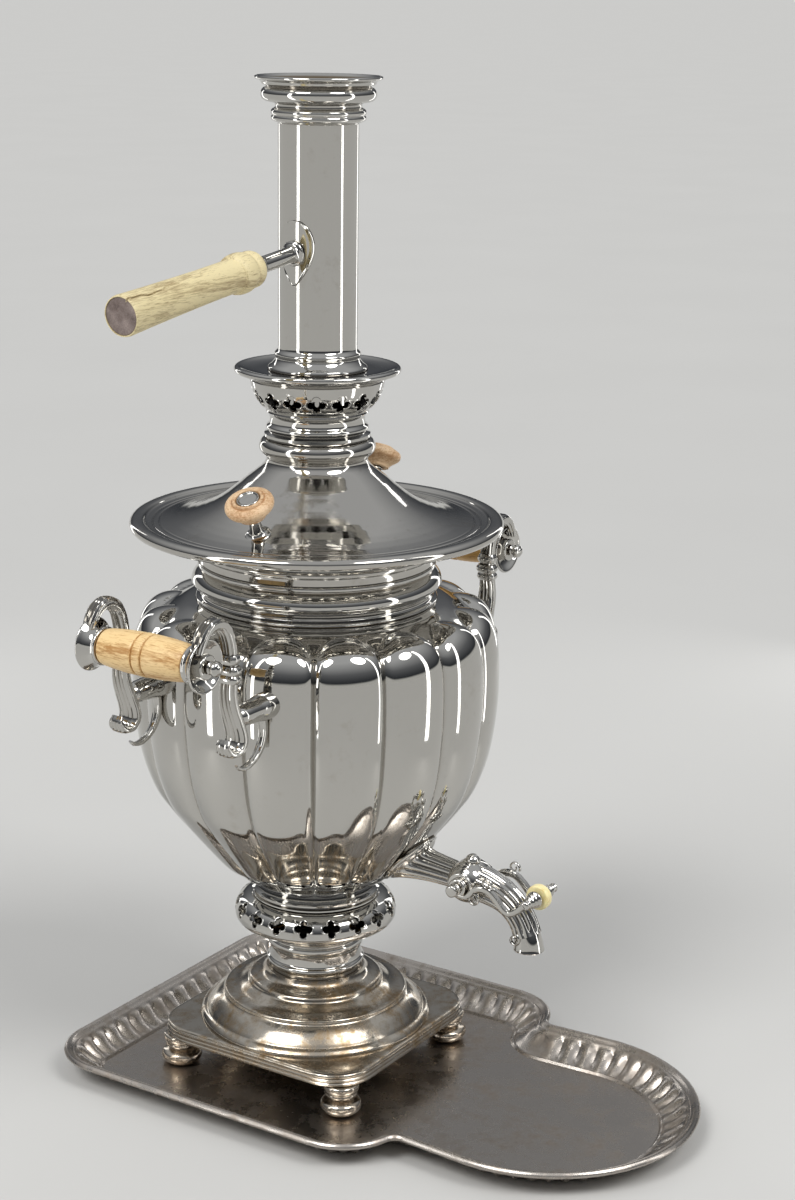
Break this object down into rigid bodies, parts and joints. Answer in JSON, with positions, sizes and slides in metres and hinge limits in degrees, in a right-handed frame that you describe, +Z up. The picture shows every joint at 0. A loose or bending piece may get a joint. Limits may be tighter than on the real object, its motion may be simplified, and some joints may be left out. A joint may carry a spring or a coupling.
{
  "type": "samovar",
  "caption": "Charcoal-heated water urn with a lobed body, pierced foot and crown, chimney with side handle, tap with stirrup lever, lift-off lid and a keyhole drip tray.",
  "frame": {"origin": "on the samovar's vertical axis, at the underside of the drip tray", "axes": "+Z up along the chimney, -Y towards the tap and the tray's round lobe, -X towards the chimney handle"},
  "size_m": [0.4442, 0.467, 0.7412],
  "materials": {
    "nickel_plate": "polished nickel plate on brass, faint brown tarnish in the hollows",
    "tarnished_nickel": "worn nickel plate with brown tarnish, on the foot and tray",
    "pale_wood": "turned pale hardwood, waxed, worn smooth",
    "bone_ring": "ivory-coloured heat-proof ring, softly polished",
    "raw_brass": "unplated brass, sooted inside",
    "grate_iron": "cast, sooty",
    "dull_disc": "dull plated disc, stained"
  },
  "bodies": {
    "tray": {"drip_tray": "tarnished_nickel"},
    "samovar": {"foot_front_left": "tarnished_nickel", "foot_front_right": "tarnished_nickel", "foot_back_left": "tarnished_nickel", "foot_back_right": "tarnished_nickel", "plinth": "tarnished_nickel", "foot_stem": "nickel_plate", "pierced_knop": "nickel_plate", "body_shell": "nickel_plate", "neck_collar": "nickel_plate", "fire_tube": "raw_brass", "fire_grate": "grate_iron", "tap_body": "nickel_plate", "side_grip_left": "pale_wood", "side_grip_right": "pale_wood", "side_tie_rod_left": "nickel_plate", "side_tie_rod_right": "nickel_plate", "side_cup_left_back": "nickel_plate", "side_cup_left_front": "nickel_plate", "side_cup_right_back": "nickel_plate", "side_cup_right_front": "nickel_plate", "side_bracket_left_back": "nickel_plate", "side_bracket_left_front": "nickel_plate", "side_bracket_right_back": "nickel_plate", "side_bracket_right_front": "nickel_plate"},
    "lid": {"lid": "nickel_plate", "lid_knob_post_left": "nickel_plate", "lid_knob_post_right": "nickel_plate", "lid_knob_left": "pale_wood", "lid_knob_right": "pale_wood"},
    "crown": {"crown": "nickel_plate"},
    "chimney": {"chimney_pipe": "nickel_plate", "chimney_escutcheon": "nickel_plate", "chimney_handle_rod": "nickel_plate", "chimney_handle_grip": "pale_wood", "chimney_handle_disc": "dull_disc"},
    "tap_key": {"tap_key": "nickel_plate", "tap_lever": "nickel_plate", "tap_lever_ring": "bone_ring", "tap_key_nut": "nickel_plate"}
  },
  "joints": [
    {"name": "samovar_lift", "type": "slide", "parent": "tray", "child": "samovar", "axis": [0, 0, 1], "range_m": [0, 0.06]},
    {"name": "lid_lift", "type": "slide", "parent": "samovar", "child": "lid", "axis": [0, 0, 1], "range_m": [0, 0.11]},
    {"name": "crown_lift", "type": "slide", "parent": "lid", "child": "crown", "axis": [0, 0, 1], "range_m": [0, 0.055]},
    {"name": "chimney_lift", "type": "slide", "parent": "crown", "child": "chimney", "axis": [0, 0, 1], "range_m": [0, 0.06]},
    {"name": "tap_turn", "type": "hinge", "parent": "samovar", "child": "tap_key", "pos_m": [0, -0.137, 0.1745], "axis": [-1, 0, 0], "range_deg": [0, 90]}
  ]
}
